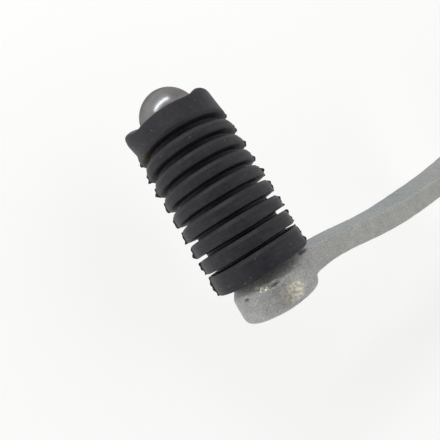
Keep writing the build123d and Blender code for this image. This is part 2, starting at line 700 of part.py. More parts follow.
with BuildPart() as pinch_washer:
    with BuildSketch(PINCH_PLANE.offset(-LUG_HALF_HEIGHT)):
        Circle(PINCH_WASHER_R)
        Circle(PINCH_CLEARANCE_R, mode=Mode.SUBTRACT)
    extrude(amount=-PINCH_WASHER_THICKNESS)
pinch_washer.part.label = "pinch_washer"
export_step(pinch_washer.part, "parts/pinch_washer.step")

with BuildPart() as pinch_bolt:
    with BuildSketch(PINCH_PLANE.offset(HEAD_SEAT_Z)):
        RegularPolygon(hex_radius(NUT_FLATS), 6)
    extrude(amount=-PINCH_HEX_HEIGHT)
    chamfer(pinch_bolt.faces().sort_by(Axis.Z)[0].edges(), PINCH_HEX_CHAMFER)
    with BuildSketch(PINCH_PLANE.offset(HEAD_SEAT_Z)):
        Circle(PINCH_R)
    extrude(amount=LUG_HALF_HEIGHT + PINCH_TIP - HEAD_SEAT_Z)
    chamfer(pinch_bolt.faces().sort_by(Axis.Z)[-1].edges(), PINCH_TIP_CHAMFER)
pinch_bolt.part.label = "pinch_bolt"
export_step(pinch_bolt.part, "parts/pinch_bolt.step")
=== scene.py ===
"""Looks of the gear shift lever: detailed meshes, procedural materials, studio light and camera.

Every length is in metres.  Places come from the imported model's own boxes.
"""
import json
import math

import bmesh
import bpy
import numpy as np
from mathutils import Matrix, Quaternion, Vector, noise


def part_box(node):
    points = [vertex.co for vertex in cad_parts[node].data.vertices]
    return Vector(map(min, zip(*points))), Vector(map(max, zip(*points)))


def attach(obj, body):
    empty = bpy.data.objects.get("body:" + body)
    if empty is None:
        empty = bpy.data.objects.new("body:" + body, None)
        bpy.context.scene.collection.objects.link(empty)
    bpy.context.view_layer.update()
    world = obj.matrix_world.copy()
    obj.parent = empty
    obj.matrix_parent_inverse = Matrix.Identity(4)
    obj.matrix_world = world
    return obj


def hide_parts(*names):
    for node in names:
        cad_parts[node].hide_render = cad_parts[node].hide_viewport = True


MM = 0.001
TAU = 2 * math.pi

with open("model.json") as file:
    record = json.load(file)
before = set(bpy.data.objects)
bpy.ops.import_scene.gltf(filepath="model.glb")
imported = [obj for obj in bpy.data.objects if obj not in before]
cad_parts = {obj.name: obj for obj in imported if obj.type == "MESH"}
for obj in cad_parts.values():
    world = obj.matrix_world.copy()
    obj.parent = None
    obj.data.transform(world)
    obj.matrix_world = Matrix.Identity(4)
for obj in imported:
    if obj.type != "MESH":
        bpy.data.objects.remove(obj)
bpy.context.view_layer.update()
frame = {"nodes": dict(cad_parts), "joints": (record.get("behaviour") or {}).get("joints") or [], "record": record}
NODES = frame["nodes"]
BODY_OF = {node: body for body, nodes in frame["record"]["behaviour"]["bodies"].items() for node in nodes}
SLOT_OF = {row["node"]: row["material_slot"] for row in frame["record"]["subparts"]}


def box_centre(node):
    low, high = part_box(node)
    return (low + high) / 2


# ---------------------------------------------------------------- places taken from the model
PEG_CENTRE = box_centre("peg_rubber")
PEG_X = box_centre("toe_peg").x
PEG_SEAT_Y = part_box("peg_rubber")[1].y
BALL_Z = box_centre("tie_rod").z
ROD_Y = box_centre("tie_rod").y
LEVER_SWING = math.radians(max(frame["joints"][0]["range_deg"]))
FLOOR_GAP = 3 * MM
# The floor lies just below the lowest place that the swinging toe rubber reaches
FLOOR_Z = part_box("peg_rubber")[0].z - PEG_X * math.sin(LEVER_SWING) - FLOOR_GAP

# The camera's axes in the model's frame
VIEW_RIGHT = Vector((-0.7166, 0.5234, 0.4611))
VIEW_UP = Vector((-0.3986, -0.8497, 0.3451))
VIEW_BACK = Vector((0.5724, 0.0635, 0.8175))


# ---------------------------------------------------------------- shader building
class Look:
    """One node material, with short calls for the nodes that its colour and relief use."""

    def __init__(self, name):
        self.material = bpy.data.materials.new(name)
        self.material.use_nodes = True
        self.nodes = self.material.node_tree.nodes
        self.links = self.material.node_tree.links
        self.nodes.clear()
        output = self.nodes.new("ShaderNodeOutputMaterial")
        self.shader = self.nodes.new("ShaderNodeBsdfPrincipled")
        self.links.new(self.shader.outputs["BSDF"], output.inputs["Surface"])
        self.coordinates = self.nodes.new("ShaderNodeTexCoord").outputs["Object"]

    def put(self, node, socket, value):
        """Gives a node's input a constant, or links it to another node's output."""
        if isinstance(value, bpy.types.NodeSocket):
            self.links.new(value, node.inputs[socket])
        else:
            node.inputs[socket].default_value = value

    def set(self, **values):
        """Sets the shader's inputs by their names, written with underscores."""
        for name, value in values.items():
            self.put(self.shader, name.replace("_", " ").title().replace("Ior", "IOR"), value)

    def stretched(self, scale, rotation=(0, 0, 0)):
        """Turned and scaled coordinates, which draw a pattern out along some axes."""
        mapping = self.nodes.new("ShaderNodeMapping")
        self.links.new(self.coordinates, mapping.inputs["Vector"])
        mapping.inputs["Scale"].default_value = scale
        mapping.inputs["Rotation"].default_value = rotation
        return mapping.outputs["Vector"]

    def noise(self, size, detail, roughness, vector=None):
        """Soft noise whose blobs are about size metres across."""
        node = self.nodes.new("ShaderNodeTexNoise")
        self.links.new(vector or self.coordinates, node.inputs["Vector"])
        node.inputs["Scale"].default_value = 1 / size
        node.inputs["Detail"].default_value = detail
        node.inputs["Roughness"].default_value = roughness
        return node.outputs["Fac"]

    def cells(self, size):
        """0 at scattered points about size metres apart, rising away from each of them."""
        node = self.nodes.new("ShaderNodeTexVoronoi")
        self.links.new(self.coordinates, node.inputs["Vector"])
        node.inputs["Scale"].default_value = 1 / size
        return node.outputs["Distance"]

    def ramp(self, factor, *stops):
        """Blends between stops of (factor, colour), where a colour may be a single grey."""
        node = self.nodes.new("ShaderNodeValToRGB")
        self.links.new(factor, node.inputs["Fac"])
        elements = node.color_ramp.elements
        while len(elements) < len(stops):
            elements.new(0.5)
        for element, (position, colour) in zip(elements, stops):
            element.position = position
            grey = isinstance(colour, (int, float))
            element.color = (colour, colour, colour, 1) if grey else (*colour, 1)
        return node.outputs["Color"]

    def mix(self, factor, a, b, blend="MIX"):
        """Goes from a at factor 0 to b at factor 1."""
        node = self.nodes.new("ShaderNodeMix")
        node.data_type = "RGBA"
        node.blend_type = blend
        for socket, value in ((0, factor), (6, a), (7, b)):
            if isinstance(value, bpy.types.NodeSocket):
                self.links.new(value, node.inputs[socket])
            elif socket == 0:
                node.inputs[socket].default_value = value
            else:
                node.inputs[socket].default_value = (*value, 1)
        return node.outputs[2]

    def math(self, operation, a, b):
        node = self.nodes.new("ShaderNodeMath")
        node.operation = operation
        self.put(node, 0, a)
        self.put(node, 1, b)
        return node.outputs["Value"]

    def attribute(self, name):
        """The numbers that a mesh holds under this name."""
        node = self.nodes.new("ShaderNodeAttribute")
        node.attribute_name = name
        return node.outputs["Fac"]

    def edges(self, low, high):
        """0 on flats to 1 on worn convex edges."""
        pointiness = self.nodes.new("ShaderNodeNewGeometry").outputs["Pointiness"]
        return self.ramp(pointiness, (low, 0.0), (high, 1.0))

    def bump(self, height, depth, strength):
        """Lays a relief over the ones that are there already."""
        node = self.nodes.new("ShaderNodeBump")
        node.inputs["Strength"].default_value = strength
        node.inputs["Distance"].default_value = depth
        self.links.new(height, node.inputs["Height"])
        previous = self.shader.inputs["Normal"]
        if previous.is_linked:
            self.links.new(previous.links[0].from_socket, node.inputs["Normal"])
        self.links.new(node.outputs["Normal"], previous)


# ---------------------------------------------------------------- materials
def cast_alloy():
    """Grey cast alloy: grainy and pitted, machined at the pivot, rubbed bare on the peg boss, with painted shade
    on the faces turned outboard and inside the dents.
    """
    look = Look("cast_alloy")
    grain = look.noise(0.35 * MM, 3, 0.6)
    mottle = look.noise(3.0 * MM, 4, 0.6)
    base = look.ramp(mottle, (0.3, (0.392, 0.398, 0.380)), (0.7, (0.474, 0.481, 0.459)))
    handled = look.ramp(mottle, (0.3, (0.370, 0.372, 0.370)), (0.7, (0.455, 0.455, 0.452)))
    base = look.mix(look.attribute("boss"), base, handled)
    # painted shade: the faces turned outboard, towards the window light, get a darker, cooler colour
    outboard_painted_shade = look.ramp(mottle, (0.3, (0.285, 0.304, 0.306)), (0.7, (0.330, 0.351, 0.353)))
    base = look.mix(look.attribute("outboard"), base, outboard_painted_shade)
    speckled = look.mix(0.68, base, look.ramp(grain, (0.28, 0.2), (0.72, 0.78)), "OVERLAY")
    glints = look.ramp(look.cells(0.55 * MM), (0.07, 1.0), (0.15, 0.0))
    speckled = look.mix(look.math("MULTIPLY", glints, 0.6), speckled, (0.74, 0.74, 0.70))
    pits = look.ramp(look.cells(0.9 * MM), (0.05, 1.0), (0.16, 0.0))
    pitted = look.mix(look.math("MULTIPLY", pits, 0.35), speckled, (0.16, 0.16, 0.16))
    edge = look.edges(0.52, 0.60)
    worn = look.math("MULTIPLY", edge, look.ramp(mottle, (0.4, 0.0), (0.65, 0.8)))
    machined = look.attribute("machined")
    cut = look.ramp(look.noise(0.15 * MM, 2, 0.5), (0.3, 0.50), (0.7, 0.62))
    coloured = look.mix(worn, pitted, (0.62, 0.62, 0.60))
    coloured = look.mix(machined, coloured, cut)
    flakes = look.math("MULTIPLY", look.noise(0.26 * MM, 3, 0.7), 0.9)
    broken = look.math("ADD", look.math("MULTIPLY", look.attribute("rub"), 0.5), flakes)
    rub = look.ramp(broken, (0.71, 0.0), (0.79, 1.0))
    stain = look.ramp(look.noise(0.7 * MM, 2, 0.5), (0.42, (0.80, 0.79, 0.72)), (0.60, (0.50, 0.45, 0.30)))
    coloured = look.mix(look.math("MULTIPLY", rub, 0.85), coloured, stain)
    # painted shade: the colour darkens towards the bottom of the dents in the peg boss
    dent_shade = look.attribute("dent_shade")
    coloured = look.mix(look.math("MULTIPLY", dent_shade, 0.85), coloured, (0.10, 0.10, 0.10))
    look.set(base_color=coloured, metallic=0.75)
    rough = look.ramp(grain, (0.3, 0.50), (0.7, 0.66))
    smooth = look.math("MAXIMUM", machined, rub)
    look.set(roughness=look.mix(smooth, rough, (0.33, 0.33, 0.33)))
    look.bump(grain, 0.05 * MM, 0.5)
    look.bump(mottle, 0.05 * MM, 0.25)
    look.bump(look.math("SUBTRACT", 1.0, pits), 0.04 * MM, 0.5)
    return look.material


def forged_steel():
    """Dark forged steel with scuffs."""
    look = Look("forged_steel")
    grain = look.noise(0.30 * MM, 3, 0.6)
    scale = look.noise(2.2 * MM, 4, 0.65)
    base = look.ramp(scale, (0.3, (0.20, 0.20, 0.21)), (0.7, (0.31, 0.31, 0.32)))
    scuffs = look.noise(0.8 * MM, 4, 0.75, vector=look.stretched((1.0, 1.0, 0.12), (0.3, 0.2, 0.0)))
    scuffed = look.mix(look.ramp(scuffs, (0.60, 0.0), (0.72, 0.7)), base, (0.50, 0.50, 0.49))
    look.set(base_color=scuffed, metallic=0.85)
    look.set(roughness=look.ramp(grain, (0.3, 0.38), (0.7, 0.58)))
    look.bump(grain, 0.04 * MM, 0.5)
    look.bump(scale, 0.08 * MM, 0.4)
    return look.material


def peg_steel():
    """Turned steel, brownish where it is tarnished."""
    look = Look("peg_steel")
    tarnish = look.noise(4.0 * MM, 4, 0.6)
    turning = look.noise(0.12 * MM, 2, 0.5, vector=look.stretched((0.2, 1.0, 0.2)))
    scratch = look.noise(0.5 * MM, 3, 0.7, vector=look.stretched((1.0, 0.15, 0.6), (0.4, 0.2, 0.9)))
    base = look.ramp(tarnish, (0.3, (0.185, 0.165, 0.150)), (0.7, (0.275, 0.277, 0.285)))
    look.set(base_color=base, metallic=1.0, specular_tint=(0.5, 0.48, 0.47, 1))
    look.set(roughness=look.ramp(tarnish, (0.3, 0.30), (0.7, 0.23)))
    look.bump(turning, 0.004 * MM, 0.5)
    look.bump(scratch, 0.006 * MM, 0.35)
    return look.material


def ground_steel():
    """Ground steel under a thin film of grease."""
    look = Look("ground_steel")
    grinding = look.noise(0.10 * MM, 2, 0.5, vector=look.stretched((0.25, 1.0, 0.25)))
    film = look.noise(2.5 * MM, 3, 0.6)
    look.set(base_color=look.ramp(film, (0.3, 0.46), (0.7, 0.58)), metallic=1.0)
    look.set(roughness=look.ramp(film, (0.3, 0.30), (0.7, 0.20)))
    look.bump(grinding, 0.004 * MM, 0.5)
    return look.material


def zinc_steel():
    """Zinc plating with a cloudy bloom."""
    look = Look("zinc_steel")
    bloom = look.noise(1.6 * MM, 4, 0.65)
    grain = look.noise(0.2 * MM, 2, 0.5)
    base = look.ramp(bloom, (0.3, (0.45, 0.46, 0.48)), (0.7, (0.60, 0.61, 0.63)))
    look.set(base_color=base, metallic=0.95)
    look.set(roughness=look.ramp(bloom, (0.3, 0.40), (0.7, 0.27)))
    look.bump(grain, 0.012 * MM, 0.5)
    look.bump(bloom, 0.02 * MM, 0.3)
    return look.material


def socket_steel():
    """Yellowish plating on turned steel."""
    look = Look("socket_steel")
    bloom = look.noise(2.0 * MM, 4, 0.65)
    turning = look.noise(0.14 * MM, 2, 0.5, vector=look.stretched((0.2, 1.0, 0.2)))
    base = look.ramp(bloom, (0.3, (0.40, 0.39, 0.35)), (0.7, (0.52, 0.51, 0.46)))
    look.set(base_color=base, metallic=0.95)
    look.set(roughness=look.ramp(bloom, (0.3, 0.46), (0.7, 0.33)))
    look.bump(turning, 0.01 * MM, 0.5)
    return look.material


def bush_bronze():
    """Porous bronze, dark where oil has soaked in."""
    look = Look("bush_bronze")
    pores = look.cells(0.22 * MM)
    oil = look.noise(1.5 * MM, 3, 0.6)
    base = look.ramp(oil, (0.3, (0.30, 0.19, 0.09)), (0.7, (0.48, 0.32, 0.16)))
    look.set(base_color=base, metallic=0.9)
    look.set(roughness=look.ramp(oil, (0.3, 0.5), (0.7, 0.36)))
    look.bump(look.ramp(pores, (0.1, 0.0), (0.3, 1.0)), 0.02 * MM, 0.6)
    return look.material


def peg_rubber():
    """Near-black moulded rubber, rubbed on its ribs, with dust and a little dirt."""
    look = Look("peg_rubber")
    grain = look.noise(0.16 * MM, 3, 0.6)
    cloud = look.noise(5.0 * MM, 4, 0.6)
    streak = look.noise(0.5 * MM, 3, 0.7, vector=look.stretched((0.12, 1.0, 0.12)))
    base = look.ramp(cloud, (0.3, (0.0118, 0.0106, 0.0150)), (0.7, (0.0185, 0.0168, 0.0235)))
    rubbed = look.math("MULTIPLY", look.attribute("rib_face"), look.ramp(streak, (0.45, 0.0), (0.75, 0.6)))
    base = look.mix(rubbed, base, (0.036, 0.034, 0.039))
    patchy = look.noise(0.9 * MM, 3, 0.6)
    base = look.mix(0.7, base, look.ramp(patchy, (0.3, 0.25), (0.7, 0.8)), "OVERLAY")
    dust = look.ramp(look.cells(1.9 * MM), (0.035, 1.0), (0.055, 0.0))
    base = look.mix(look.math("MULTIPLY", dust, 0.55), base, (0.45, 0.45, 0.43))
    crumbs = look.ramp(look.noise(0.8 * MM, 4, 0.7), (0.4, 0), (0.6, 1))
    dirt = look.math("MULTIPLY", look.attribute("dirt"), crumbs)
    base = look.mix(dirt, base, (0.085, 0.070, 0.030))
    look.set(base_color=base, roughness=look.ramp(cloud, (0.3, 0.46), (0.7, 0.60)), ior=1.5)
    look.set(specular_ior_level=0.36)
    look.bump(patchy, 0.05 * MM, 0.35)
    look.bump(grain, 0.025 * MM, 0.5)
    look.bump(streak, 0.03 * MM, 0.35)
    return look.material


def seal_rubber():
    """Plain black rubber."""
    look = Look("seal_rubber")
    grain = look.noise(0.15 * MM, 3, 0.6)
    bloom = look.noise(2.5 * MM, 4, 0.6)
    look.set(base_color=look.ramp(bloom, (0.3, (0.022, 0.022, 0.023)), (0.7, (0.040, 0.040, 0.041))))
    look.set(roughness=look.ramp(bloom, (0.3, 0.45), (0.7, 0.60)), ior=1.5)
    look.bump(grain, 0.015 * MM, 0.5)
    return look.material


def seat_nylon():
    """Cream nylon."""
    look = Look("seat_nylon")
    cloud = look.noise(2.0 * MM, 3, 0.6)
    look.set(base_color=look.ramp(cloud, (0.3, (0.66, 0.63, 0.54)), (0.7, (0.76, 0.73, 0.65))))
    look.set(roughness=look.ramp(cloud, (0.3, 0.42), (0.7, 0.34)))
    look.bump(look.noise(0.2 * MM, 2, 0.5), 0.008 * MM, 0.4)
    return look.material


def floor_paper():
    """White paper on a light table, which keeps the shadows pale."""
    look = Look("floor_paper")
    tone = look.noise(0.5, 2, 0.5)
    look.set(base_color=look.ramp(tone, (0.3, (0.60, 0.61, 0.61)), (0.7, (0.62, 0.625, 0.62))))
    look.set(roughness=0.9, emission_color=(1.0, 1.0, 0.985, 1), emission_strength=0.49)
    look.bump(look.noise(0.6 * MM, 2, 0.5), 0.01 * MM, 0.2)
    return look.material


MATERIALS = {
    "lever_alloy": cast_alloy(),
    "arm_steel": forged_steel(),
    "peg_steel": peg_steel(),
    "ground_steel": ground_steel(),
    "zinc_steel": zinc_steel(),
    "socket_steel": socket_steel(),
    "bush_bronze": bush_bronze(),
    "peg_rubber": peg_rubber(),
    "seal_rubber": seal_rubber(),
    "seat_nylon": seat_nylon(),
}


# ---------------------------------------------------------------- mesh building
ARC_STEPS = 4
WELD_DISTANCE = 0.002 * MM
CORNER_ANGLE = math.radians(30)


def new_object(name, vertices, faces, smooth_angle):
    mesh = bpy.data.meshes.new(name)
    mesh.from_pydata([tuple(v) for v in vertices], [], faces)
    mesh.validate()
    obj = bpy.data.objects.new(name, mesh)
    bpy.context.scene.collection.objects.link(obj)
    shade(obj, smooth_angle)
    return obj


def shade(obj, smooth_angle):
    """Smooth shading, apart from the edges sharper than smooth_angle degrees."""
    obj.data.shade_smooth()
    obj.data.set_sharp_from_angle(angle=math.radians(smooth_angle))


def apply_modifiers(obj):
    """Swaps the object's mesh for the one that its modifiers make."""
    depsgraph = bpy.context.evaluated_depsgraph_get()
    result = bpy.data.meshes.new_from_object(obj.evaluated_get(depsgraph))
    obj.modifiers.clear()
    obj.data = result


def stand_for(obj, *nodes):
    """The piece takes the first node's material, rides on its body and hides every node given."""
    node = nodes[0]
    obj.data.materials.clear()
    obj.data.materials.append(MATERIALS[SLOT_OF[node]])
    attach(obj, BODY_OF[node])
    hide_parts(*nodes)


def rounded(points, radii):
    """A closed outline with each corner turned into an arc of its own radius."""
    outline = []
    count = len(points)
    for index, point in enumerate(points):
        corner = Vector(point)
        before = Vector(points[index - 1]) - corner
        after = Vector(points[(index + 1) % count]) - corner
        radius = radii[index]
        half_angle = before.angle(after) / 2
        reach = min(radius / math.tan(half_angle), before.length * 0.45, after.length * 0.45)
        start = corner + before.normalized() * reach
        end = corner + after.normalized() * reach
        for step in range(ARC_STEPS + 1):
            t = step / ARC_STEPS
            outline.append(start * (1 - t) ** 2 + corner * 2 * t * (1 - t) + end * t**2)
    return outline


def divided(points, longest):
    """The closed outline with long runs cut into pieces no longer than longest."""
    result = []
    for index, point in enumerate(points):
        following = points[(index + 1) % len(points)]
        pieces = max(1, math.ceil((following - point).length / longest))
        result += [point.lerp(following, piece / pieces) for piece in range(pieces)]
    return result


def around(count):
    """Evenly spaced angles that go once round an axis."""
    return [TAU * k / count for k in range(count)]


def lathe(name, outline, origin, angles, smooth_angle, shape=None):
    """Turns a closed outline of (radius, height) about the line through origin along +Y.

    shape(radius, height, angle) may move a point, and gives its new radius and height.
    """
    across, up, along = Vector((1, 0, 0)), Vector((0, 0, 1)), Vector((0, 1, 0))
    vertices = []
    for angle in angles:
        direction = across * math.cos(angle) + up * math.sin(angle)
        for radius, height in outline:
            if shape:
                radius, height = shape(radius, height, angle)
            vertices.append(origin + direction * radius + along * height)
    rows, columns = len(angles), len(outline)
    faces = []
    for row in range(rows):
        here, beside = row * columns, (row + 1) % rows * columns
        for column in range(columns):
            following = (column + 1) % columns
            faces.append((here + column, here + following, beside + following, beside + column))
    obj = new_object(name, vertices, faces, smooth_angle)
    weld(obj)
    return obj


def weld(obj):
    """Joins coincident points, such as those where an outline meets the axis, and faces outwards."""
    work = bmesh.new()
    work.from_mesh(obj.data)
    bmesh.ops.remove_doubles(work, verts=work.verts, dist=WELD_DISTANCE)
    bmesh.ops.recalc_face_normals(work, faces=work.faces)
    work.to_mesh(obj.data)
    work.free()


def points_and_normals(obj):
    """Every vertex's place and normal, read once, before any of them moves."""
    count = len(obj.data.vertices)
    points, normals = np.empty(count * 3), np.empty(count * 3)
    obj.data.vertices.foreach_get("co", points)
    obj.data.vertices.foreach_get("normal", normals)
    return points.reshape(-1, 3), normals.reshape(-1, 3)


def cad_copy(node, name):
    """A new object with a copy of a node's own mesh, to work on."""
    obj = bpy.data.objects.new(name, NODES[node].data.copy())
    bpy.context.scene.collection.objects.link(obj)
    weld(obj)
    return obj


def even_normals(obj):
    """Keeps flat faces flat in shading, right up to the small bevels round them."""
    obj.modifiers.new("normals", "WEIGHTED_NORMAL").keep_sharp = True
    apply_modifiers(obj)


def bevelled(obj, width, segments=2, chosen=None):
    """Bevels the corners sharper than CORNER_ANGLE, or only those whose middle is chosen."""
    bevel = obj.modifiers.new("bevel", "BEVEL")
    bevel.width = width
    bevel.segments = segments
    bevel.limit_method = "ANGLE"
    bevel.angle_limit = CORNER_ANGLE
    if chosen:
        weigh_corners(obj, chosen)
        bevel.limit_method = "WEIGHT"
    apply_modifiers(obj)
    shade(obj, 40)
    even_normals(obj)
    return obj


def weigh_corners(obj, chosen):
    """Gives a bevel weight of 1 to each corner edge whose middle is chosen."""
    work = bmesh.new()
    work.from_mesh(obj.data)
    weight = work.edges.layers.float.new("bevel_weight_edge")
    for edge in work.edges:
        middle = (edge.verts[0].co + edge.verts[1].co) / 2
        corner = edge.is_manifold and edge.calc_face_angle() > CORNER_ANGLE
        edge[weight] = 1.0 if corner and chosen(middle) else 0.0
    work.to_mesh(obj.data)
    work.free()


def paint(obj, name, value_at):
    """Stores value_at(point) on every vertex, for the material to read."""
    layer = obj.data.attributes.new(name, "FLOAT", "POINT")
    layer.data.foreach_set("value", [value_at(vertex.co) for vertex in obj.data.vertices])


# ---------------------------------------------------------------- peg rubber
RUBBER_LOW, RUBBER_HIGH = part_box("peg_rubber")
LUG_HEIGHT = 1.8 * MM
RUBBER_R = (RUBBER_HIGH.x - RUBBER_LOW.x) / 2
RUBBER_START = RUBBER_LOW.y + LUG_HEIGHT
RUBBER_END = RUBBER_HIGH.y
RUBBER_BORE = 5.0 * MM
GROOVE_DEPTH = 2.25 * MM
RUBBER_ROOT = RUBBER_R - GROOVE_DEPTH
OUTER_FLANGE, INNER_FLANGE, RIBS = 5.4 * MM, 4.8 * MM, 7
WIDE_GAP, NARROW_GAP = 1.65 * MM, 0.75 * MM
FIRST_GROOVE = RUBBER_START + OUTER_FLANGE
RIM_STEP, RIB_LIP, RIB_TAPER = 0.6 * MM, 0.35 * MM, 0.85 * MM
OUTLINE_STEP = 0.5 * MM
PARTING_LINES = (math.radians(-33), math.radians(147))
# Ears on the outer rim: bearing and half width in degrees, then in millimetres the height where
# an ear springs from the flange, its height at the rim, and its lean outwards
EARS = ((-24, 24, 2.3, 1.5, 1.1), (118, 25, 2.0, 1.2, 0.0))
EAR_INSIDE, EAR_FULL, EAR_RIM = 7.5 * MM, 8.3 * MM, 9.8 * MM
# The millimetres from the rim over which an ear's height, and its lean, grow to the full
EAR_GROWTH, EAR_LEANING = (3.4, 0.0), (2.9, 0.5)
# How far the ribs stray outwards and along the peg
RIB_SWELL, RIB_SWAY = 0.10 * MM, 0.16 * MM
# Moulding flash: how close to the ribs' tops it springs, and how many millimetres from the rim
# it starts.  Its fin is FIN_REACH less FIN_LOSS millimetres high at most.
FLASH_ROOT, FLASH_START = 0.8 * MM, 4.6
FIN_REACH, FIN_LOSS, FIN_HALF_WIDTH = 1.1, 0.12, math.radians(0.5)
BUMP_HEIGHT, BUMP_HALF_WIDTH = 0.22 * MM, math.radians(7)
FIN_STEPS, FIN_STEP = 6, math.radians(0.2)
RIB_FACE_DEPTH = 0.25 * MM
# Dirt in the first groove: how deep into the groove it lies, how far it reaches to each side,
# its bearing and its spread round the peg
DIRT_DEPTH, DIRT_REACH = 0.6 * MM, 1.3 * MM
DIRT_BEARING, DIRT_SPREAD = math.radians(-8), math.radians(17)


def away(angle, line):
    """The angle between two directions, from 0 to pi."""
    return abs((angle - line + math.pi) % TAU - math.pi)


def smoothstep(low, high, value):
    """0 at low to 1 at high, easing in and out."""
    t = min(1.0, max(0.0, (value - low) / (high - low)))
    return t * t * (3 - 2 * t)


def rubber_outline():
    """The section of the moulding without its ears.  Corner radii are in millimetres."""
    points, radii = [(RUBBER_BORE, RUBBER_START), (RUBBER_R - RIM_STEP, RUBBER_START)], [0.2, 0.35]
    pitch = (RUBBER_END - INNER_FLANGE - NARROW_GAP - FIRST_GROOVE) / RIBS
    for groove in range(RIBS + 1):
        start = FIRST_GROOVE + groove * pitch
        openness = 1 - groove / RIBS
        gap = NARROW_GAP + (WIDE_GAP - NARROW_GAP) * openness
        points += [(RUBBER_R, start), (RUBBER_ROOT, start), (RUBBER_ROOT, start + gap),
                   (RUBBER_R - RIB_LIP, start + gap), (RUBBER_R, start + gap + RIB_TAPER)]
        radii += [0.2 + 0.5 * openness, 0.3, 0.3, 0.15, 0.3]
    points += [(RUBBER_R, RUBBER_END), (RUBBER_BORE, RUBBER_END)]
    radii += [0.35, 0.2]
    return divided(rounded(points, [r * MM for r in radii]), OUTLINE_STEP)


def rubber_shape(radius, height, angle):
    """Adds the rim's ears, uneven ribs and ragged flash to a point of the turned moulding."""
    outside = max(0.0, (radius - RUBBER_ROOT) / (RUBBER_R - RUBBER_ROOT))
    along = (height - RUBBER_START) / MM
    place = Vector((math.cos(angle) * 1.6, math.sin(angle) * 1.6, along / 4))
    radius += outside * RIB_SWELL * noise.noise(place * 1.3)
    height += outside * RIB_SWAY * noise.noise(place * 0.9 + Vector((7, 3, 1)))
    springs = radius
    grown = smoothstep(*EAR_GROWTH, along)
    leaning = smoothstep(*EAR_LEANING, along)
    beyond = smoothstep(EAR_INSIDE, EAR_FULL, springs)
    outward = smoothstep(EAR_RIM, RUBBER_R, springs)
    for bearing, half_width, inner, rim, lean in EARS:
        lobe = math.exp(-((away(angle, math.radians(bearing)) / math.radians(half_width)) ** 3))
        height -= lobe * grown * beyond * (inner + (rim - inner) * outward) * MM
        radius += lobe * leaning * outward * lean * MM
    for side, line in enumerate(PARTING_LINES):
        gap = away(angle, line)
        # the thin fin of moulding flash, ragged along its length
        ragged = 0.5 + 0.5 * noise.noise(Vector((along / 1.1, side * 9.0, 2.0)))
        fin = math.exp(-((gap / FIN_HALF_WIDTH) ** 2))
        if springs > RUBBER_R - FLASH_ROOT and along > FLASH_START:
            radius += fin * max(0.0, FIN_REACH * ragged - FIN_LOSS) * MM
        # the blunt bumps that the fin stands on
        bump = math.exp(-((gap / BUMP_HALF_WIDTH) ** 2)) * smoothstep(0.35, 0.75, ragged)
        radius += bump * outside * BUMP_HEIGHT
    return radius, height


def make_peg_rubber():
    """The moulding, with extra fine steps round it where the thin flash stands."""
    angles = around(360)
    for line in PARTING_LINES:
        angles += [(line + step * FIN_STEP) % TAU for step in range(-FIN_STEPS, FIN_STEPS + 1)]
    angles = sorted(set(round(angle, 6) for angle in angles))
    origin = Vector((PEG_X, 0, 0))
    obj = lathe("peg_rubber_moulding", rubber_outline(), origin, angles, smooth_angle=50, shape=rubber_shape)

    def rib_face(point):
        return 1.0 if math.hypot(point.x - PEG_X, point.z) > RUBBER_R - RIB_FACE_DEPTH else 0.0

    def dirt(point):
        if abs(point.y - (FIRST_GROOVE + DIRT_DEPTH)) > DIRT_REACH:
            return 0.0
        angle = math.atan2(point.z, point.x - PEG_X)
        return math.exp(-((away(angle, DIRT_BEARING) / DIRT_SPREAD) ** 2))

    paint(obj, "rib_face", rib_face)
    paint(obj, "dirt", dirt)
    stand_for(obj, "peg_rubber")


# ---------------------------------------------------------------- toe peg
PEG_SHAFT_R, PEG_SPIGOT_R, RIVET_R = 5.0 * MM, 4.5 * MM, 6.2 * MM
DOME_EDGE = 0.25 * MM
COUNTERSINK, RIVET_CROWN = 2.2 * MM, 0.5 * MM
HAMMER_MARK, HAMMER_SIZE = 0.25 * MM, 1.9 * MM


def make_toe_peg():
    """The turned peg: a half ball on a shaft, and a spigot riveted over at its far end."""
    low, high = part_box("toe_peg")
    dome = (high.x - low.x) / 2
    base = low.y + dome
    turns = 20
    arc = [k * math.pi / 2 / turns for k in range(turns + 1)]
    outline = [Vector((dome * math.sin(a), base - dome * math.cos(a))) for a in arc]
    outline += [Vector(point) for point in (
        (dome, RUBBER_START - DOME_EDGE), (dome - DOME_EDGE, RUBBER_START),
        (PEG_SHAFT_R, RUBBER_START), (PEG_SHAFT_R, PEG_SEAT_Y), (PEG_SPIGOT_R, PEG_SEAT_Y),
        (PEG_SPIGOT_R, high.y - COUNTERSINK), (RIVET_R, high.y - RIVET_CROWN))]
    crown = [k * math.pi / 16 for k in range(1, 9)]
    outline += [Vector((RIVET_R * math.cos(a), high.y - RIVET_CROWN * (1 - math.sin(a)))) for a in crown]

    def shape(radius, height, angle):
        # hammer marks on the riveted end
        if height > high.y - RIVET_CROWN - 0.1 * MM:
            flat_place = Vector((radius * math.cos(angle), radius * math.sin(angle), 0))
            height += HAMMER_MARK * (noise.noise(flat_place / HAMMER_SIZE) - 0.4)
        return radius, height

    obj = lathe("toe_peg_turned", outline, Vector((PEG_X, 0, 0)), around(160), smooth_angle=30, shape=shape)
    stand_for(obj, "toe_peg")


# ---------------------------------------------------------------- lever casting
PEG_BOSS_R, PEG_BOSS_REACH, PEG_BOSS_LENGTH = 9.6 * MM, 11 * MM, 8 * MM
PIVOT_FACE_R, PIVOT_BORE_R = 12.0 * MM, 9.6 * MM
SEAL_RECESS, FACING_DEPTH = 0.5 * MM, 0.3 * MM
CAST_VOXEL = 0.4 * MM
# A dent's depth in millimetres, from where its painted shade starts to where it is darkest
DENT_SHADE_DEPTH = (0.22, 0.5)
# The cast skin's relief: how broad its swells are, and their height in millimetres
SKIN_SWELLS = ((6 * MM, 0.07), (1.3 * MM, 0.03))
# Distances over which the looks of the boss fade into those of the arm
BOSS_FADE, ARM_PAST_PEG, ARM_PAST_PIVOT = (18 * MM, 9 * MM), (9 * MM, 14 * MM), (12 * MM, 20 * MM)
